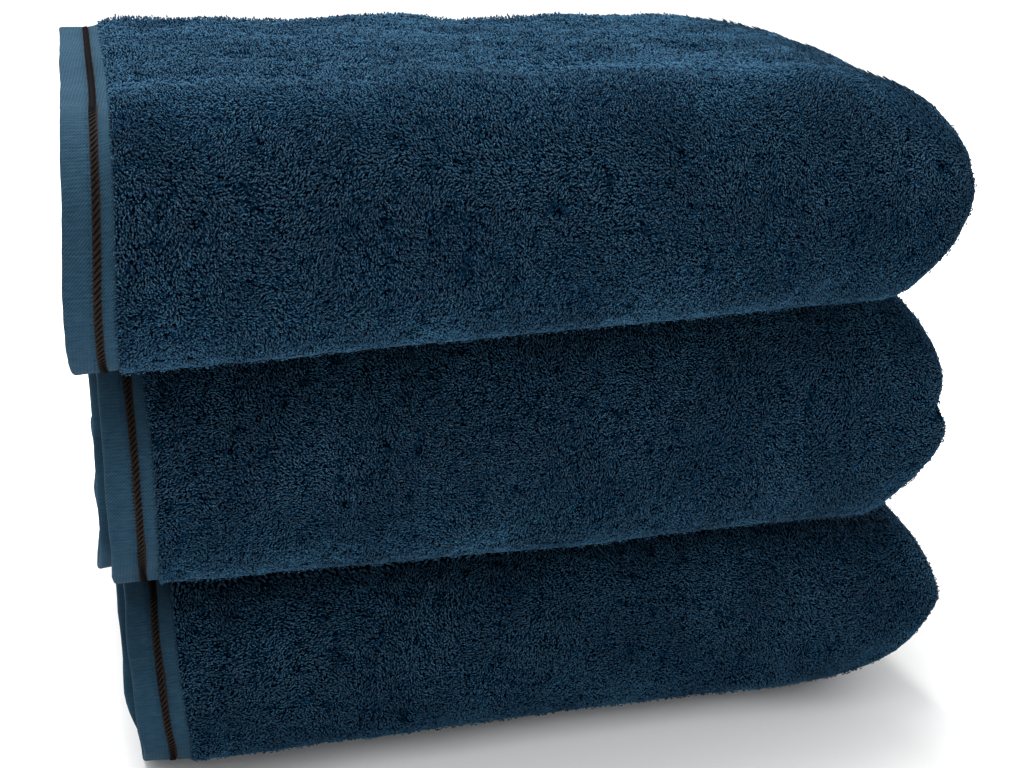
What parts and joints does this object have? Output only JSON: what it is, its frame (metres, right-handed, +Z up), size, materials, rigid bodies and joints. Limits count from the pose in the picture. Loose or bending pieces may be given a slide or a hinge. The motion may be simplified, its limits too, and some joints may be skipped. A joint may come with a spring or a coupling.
{
  "type": "folded bath towel stack",
  "caption": "Stack of folded dark petrol blue terry bath towels, with rounded letter folds and flat woven hems with a dark contrast stripe at one end.",
  "frame": {"origin": "middle of the stack's underside", "axes": "+Z up; +X along the folds, from the hemmed ends towards the round folded ends; -Y is the side of the big round letter folds"},
  "size_m": [0.3652, 0.2904, 0.2734],
  "materials": {
    "terry_pile": "cotton loop pile, dark petrol blue",
    "border_weave": "flat woven cotton with fine ribs, petrol blue",
    "contrast_stripe": "twill woven stripe, near black brown",
    "sewing_thread": "twisted sewing thread, petrol blue"
  },
  "bodies": {
    "bottom_towel": {"bottom_towel_terry_cloth": "terry_pile", "bottom_towel_outer_hem": "border_weave", "bottom_towel_outer_hem_stitch": "sewing_thread", "bottom_towel_outer_stripe": "contrast_stripe", "bottom_towel_outer_heading": "border_weave", "bottom_towel_nested_hem": "border_weave", "bottom_towel_nested_hem_stitch": "sewing_thread", "bottom_towel_nested_stripe": "contrast_stripe", "bottom_towel_nested_heading": "border_weave", "bottom_towel_top_selvedge": "border_weave", "bottom_towel_tucked_selvedge": "border_weave"},
    "middle_towel": {"middle_towel_terry_cloth": "terry_pile", "middle_towel_outer_hem": "border_weave", "middle_towel_outer_hem_stitch": "sewing_thread", "middle_towel_outer_stripe": "contrast_stripe", "middle_towel_outer_heading": "border_weave", "middle_towel_nested_hem": "border_weave", "middle_towel_nested_hem_stitch": "sewing_thread", "middle_towel_nested_stripe": "contrast_stripe", "middle_towel_nested_heading": "border_weave", "middle_towel_top_selvedge": "border_weave", "middle_towel_tucked_selvedge": "border_weave"},
    "top_towel": {"top_towel_terry_cloth": "terry_pile", "top_towel_outer_hem": "border_weave", "top_towel_outer_hem_stitch": "sewing_thread", "top_towel_outer_stripe": "contrast_stripe", "top_towel_outer_heading": "border_weave", "top_towel_nested_hem": "border_weave", "top_towel_nested_hem_stitch": "sewing_thread", "top_towel_nested_stripe": "contrast_stripe", "top_towel_nested_heading": "border_weave", "top_towel_top_selvedge": "border_weave", "top_towel_tucked_selvedge": "border_weave"}
  },
  "joints": [
    {"name": "middle_lift", "type": "slide", "parent": "bottom_towel", "child": "middle_towel", "axis": [0, 0, 1], "range_m": [0, 0.25]},
    {"name": "top_lift", "type": "slide", "parent": "middle_towel", "child": "top_towel", "axis": [0, 0, 1], "range_m": [0, 0.25]}
  ]
}
